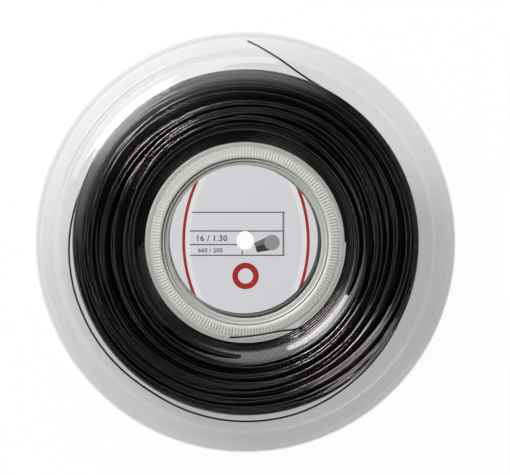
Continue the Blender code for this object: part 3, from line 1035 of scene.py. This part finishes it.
class REEL_OT_wind_string(bpy.types.Operator):
    """Winds the string: both sides, the outermost layer and the turns inside."""

    bl_idname = "reel.wind_string"
    bl_label = "Wind String"

    def execute(self, context):
        settings = context.scene.reel_winding
        material = black_string(settings)
        ends = joined_turns(at_slices(free_end_points()), at_slices(inner_tail_points()))
        turned = (ends[0], -ends[1])
        front = side_of_winding(settings, 7, settings.out_radius, ends)
        rear = side_of_winding(settings, 19, settings.out_radius - STRING_DIAMETER, turned)
        outer = slice(-MET_TURNS, None)
        edge = joined_turns(
            ends, (front[0][outer], front[1][outer]), (rear[0][outer], -rear[1][outer])
        )
        outside = outside_of_winding(settings, 5, edge)
        for name, node, (radii, heights) in (
            ("front_turns", "string_front_turns", front),
            ("rear_turns", "string_rear_turns", (rear[0], -rear[1])),
            ("outer_turns", "string_outer_layer", outside),
        ):
            winding = string_curve(name, path_of(radii, heights), sides=3)
            dressed(winding, material, node)
        self.add_inner_turns(settings)
        return {"FINISHED"}

    def add_inner_turns(self, settings):
        """A ring with the rounded ridges of neat turns, deep in the winding, and less so next to the drum."""
        depth = settings.depth + 1.1 * STRING_DIAMETER
        edge = settings.out_radius - 1.6 * STRING_DIAMETER
        rows = int((edge - settings.in_radius) / STRING_DIAMETER)
        side = []
        for row in range(rows):
            middle = settings.in_radius + (row + 0.5) * STRING_DIAMETER
            level = float(room_over(np.array([middle]))[0])
            level -= np.interp(middle, [0.0718, 0.0745], [0.0036, depth])
            for across, down in ((-0.42, 0.30), (0.0, 0.0), (0.42, 0.30)):
                side.append((middle + across * STRING_DIAMETER, level - down * STRING_DIAMETER))
        section = side + [(radius, -height) for radius, height in side[::-1]]
        core = traced_section("inner_turns", section)
        spin_round(96)
        finish_mesh(60)
        # Painted shade: the string's colour and gloss are dimmed here, so that the gaps between the turns in
        # front of it stay black
        inside = black_string(settings, "black_string_painted_shade", painted_shade_dimmer=0.08)
        dressed(core, inside, "string_core")


class REEL_OT_set_stage(bpy.types.Operator):
    """Sets the floor, the soft boxes, the room and the camera."""

    bl_idname = "reel.set_stage"
    bl_label = "Set Stage"

    def execute(self, context):
        settings = context.scene.reel_studio
        self.add_floor()
        main = self.add_soft_box("main_soft_box", settings, MAIN_BOX_ANGLES, settings.main_strength)
        high = self.add_soft_box("high_soft_box", settings, HIGH_BOX_ANGLES, settings.high_strength)
        panel = self.add_ceiling_panel(settings)
        # The high soft box and the panel are glints on the flanges alone, which don't mirror the large box
        self.link_flanges("lit_from_overhead", "INCLUDE", high, panel)
        self.link_flanges("not_lit_by_main", "EXCLUDE", main)
        self.paint_room(context.scene, settings)
        self.add_camera(context.scene, settings)
        context.scene.view_settings.view_transform = "Standard"
        return {"FINISHED"}

    def link_flanges(self, name, state, *lamps):
        """Has lamps light the flanges alone, or everything but them."""
        linked = bpy.data.collections.new(name)
        for flange in map(bpy.data.objects.get, ("clear_flange_front", "clear_flange_rear")):
            if flange:
                linked.objects.link(flange)
        for part in linked.collection_objects:
            part.light_linking.link_state = state
        for lamp in lamps:
            lamp.light_linking.receiver_collection = linked

    def add_floor(self):
        """A pale floor. Under the reel its own light is low, so that the winding's shadow shows, and it is
        raised towards the upper side as painted light.
        """
        nothing_selected()
        bpy.ops.mesh.primitive_plane_add(size=8.0, location=(0, 0, -0.0001))
        floor = bpy.context.object
        floor.name = "floor"
        material, tree, shader = new_material("pale_floor")
        surface = moulded_surface(tree, 300.0, 3.0, 0.4)
        base = blended(tree, surface["Mask"], (0.93, 0.93, 0.93), (0.91, 0.91, 0.91))
        fill(tree, shader, {"Base Color": base, "Roughness": 0.9})
        glow = add_node(tree, "Emission", {"Color": (1, 1, 1), "Strength": 1.0}).outputs["Emission"]
        place = add_node(tree, "TexCoord").outputs["Object"]
        away = vector_maths(tree, "LENGTH", place, result="Value")
        # Painted light: under the reel the floor's own light grows towards the upper side
        painted_light_side = maths(tree, "DIVIDE", along_way(tree, place, PAINTED_LIGHT_WAY), away)
        under = maths(tree, "MULTIPLY_ADD", ramp(tree, painted_light_side, -0.1, 0.5), FLOOR_PAINTED_LIGHT_MORE, FLOOR_UNDER_REEL)
        rim = {"From Min": RIM_RADIUS + 0.0008, "From Max": RIM_RADIUS + 0.0018}
        inputs = {"Value": away, "To Min": under, "To Max": FLOOR_IN_THE_OPEN, **rim}
        past_rim = add_node(tree, "MapRange", inputs).outputs["Result"]
        in_bore = maths(tree, "MULTIPLY", maths(tree, "LESS_THAN", away, 0.02), FLOOR_IN_THE_OPEN)
        path = add_node(tree, "LightPath").outputs
        seen = maths(tree, "MULTIPLY", path["Is Camera Ray"], maths(tree, "MAXIMUM", past_rim, in_bore))
        mirrored = maths(tree, "MULTIPLY", path["Is Glossy Ray"], FLOOR_MIRRORED)
        own_light = maths(tree, "MAXIMUM", seen, mirrored)
        show(tree, mixed_shaders(tree, own_light, shader.outputs["BSDF"], glow))
        floor.data.materials.append(material)

    def add_lamp(self, name, width, depth, strength, place):
        """A flat lamp that the camera doesn't see."""
        data = bpy.data.lights.new(name, "AREA")
        data.shape = "RECTANGLE"
        data.size, data.size_y = width, depth
        data.energy = strength * math.pi * data.size * data.size_y
        lamp = add_object(name, data)
        lamp.matrix_world = place
        lamp.visible_camera = False
        return lamp

    def add_soft_box(self, name, settings, angles, strength):
        """A soft box between two angles from straight overhead, that faces the reel."""
        high, low = angles
        middle = math.radians((high + low) / 2)
        distance = settings.lamp_distance
        width = 2 * distance * math.sin(middle) * math.tan(SOFT_BOX_HALF_TURN)
        depth = 2 * distance * math.tan(math.radians(low - high) / 2)
        turn = Matrix.Rotation(settings.lamp_azimuth, 4, "Z") @ Matrix.Rotation(middle, 4, "Y")
        place = turn @ Matrix.Translation((0, 0, distance)) @ Matrix.Rotation(math.radians(90), 4, "Z")
        return self.add_lamp(name, width, depth, strength, place)

    def add_ceiling_panel(self, settings):
        """A level panel overhead, on the lamps' side, that grows brighter away from the reel's axis."""
        distance = settings.lamp_distance
        near_edge, far_edge = (distance * math.tan(math.radians(angle)) for angle in PANEL_ANGLES)
        middle = Matrix.Translation((0, (near_edge + far_edge) / 2, distance))
        lamp = self.add_lamp(
            "ceiling_panel",
            PANEL_WIDTH * distance,
            far_edge - near_edge,
            settings.panel_strength,
            Matrix.Rotation(PANEL_AZIMUTH - math.radians(90), 4, "Z") @ middle,
        )
        lamp.data.use_nodes = True
        tree = lamp.data.node_tree
        spot = add_node(tree, "NewGeometry").outputs["Parametric"]
        outward = add_node(tree, "SeparateXYZ", {"Vector": spot}).outputs["Y"]
        fill(tree, tree.nodes["Emission"], {"Strength": ramp(tree, outward, 0.0, 0.24)})
        return lamp

    def paint_room(self, scene, settings):
        """A dim room with a glow round the large soft box and a wall opposite. The camera sees white."""
        world = bpy.data.worlds.new("studio")
        world.use_nodes = True
        scene.world = world
        tree = world.node_tree
        way = add_node(tree, "TexCoord").outputs["Generated"]
        height = add_node(tree, "SeparateXYZ", {"Vector": way}).outputs["Z"]
        # Angle round the axis, measured from the wall's own middle
        ahead = along_way(tree, way, (math.cos(WALL_MIDDLE), math.sin(WALL_MIDDLE)))
        aside = along_way(tree, way, (-math.sin(WALL_MIDDLE), math.cos(WALL_MIDDLE)))
        turn = maths(tree, "ABSOLUTE", maths(tree, "ARCTAN2", aside, ahead))
        room = settings.room_strength
        for strength, turns, heights in (
            (settings.wall_strength, WALL_TURNS, WALL_HEIGHTS),
            (settings.glow_strength, GLOW_TURNS, GLOW_HEIGHTS),
        ):
            light = 1.0
            for value, limits in ((turn, turns), (height, heights)):
                for limit in limits:
                    light = maths(tree, "MULTIPLY", light, ramp(tree, value, *limit))
            room = maths(tree, "MULTIPLY_ADD", light, strength, room)
        seen = add_node(tree, "LightPath").outputs["Is Camera Ray"]
        total = add_node(tree, "Mix", {"Factor": seen, "A": room, "B": 1.0}).outputs["Result"]
        fill(tree, tree.nodes["Background"], {"Strength": total, "Color": (1.0, 1.0, 1.0)})

    def add_camera(self, scene, settings):
        data = bpy.data.cameras.new("camera")
        data.lens = settings.lens
        data.sensor_width = 36.0
        data.shift_x, data.shift_y = settings.shift_x, settings.shift_y
        scene.camera = add_object("camera", data)
        scene.camera.location.z = settings.camera_height


class REEL_PT_panel(bpy.types.Panel):
    """The steps that dress the reel."""

    bl_label = "String Reel"
    bl_idname = "REEL_PT_panel"
    bl_space_type = "VIEW_3D"
    bl_region_type = "UI"
    bl_category = "Reel"

    def draw(self, context):
        for step in STEPS:
            self.layout.operator(step.bl_idname)
        for holder in SETTINGS:
            box = self.layout.box()
            settings = getattr(context.scene, holder)
            for name in settings.bl_rna.properties.keys():
                if name not in ("rna_type", "name"):
                    box.prop(settings, name)


SETTINGS = {
    "reel_studio": StudioSettings,
    "reel_winding": WindingSettings,
    "reel_flange": FlangeSettings,
    "reel_hub": HubSettings,
    "reel_label": LabelSettings,
}
STEPS = (
    REEL_OT_add_free_ends,
    REEL_OT_wind_string,
    REEL_OT_add_flanges,
    REEL_OT_add_hub,
    REEL_OT_add_labels,
    REEL_OT_set_stage,
)


def register():
    for kind in (*SETTINGS.values(), *STEPS, REEL_PT_panel):
        bpy.utils.register_class(kind)
    for holder, kind in SETTINGS.items():
        setattr(bpy.types.Scene, holder, bpy.props.PointerProperty(type=kind))


def unregister():
    for holder in SETTINGS:
        delattr(bpy.types.Scene, holder)
    for kind in reversed((*SETTINGS.values(), *STEPS, REEL_PT_panel)):
        bpy.utils.unregister_class(kind)


def main():
    register()
    bpy.ops.reel.add_free_ends()
    bpy.ops.reel.wind_string()
    bpy.ops.reel.add_flanges()
    bpy.ops.reel.add_hub()
    bpy.ops.reel.add_labels()
    bpy.ops.reel.set_stage()
    nothing_selected()
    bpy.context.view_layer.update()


if __name__ == "__main__":
    main()
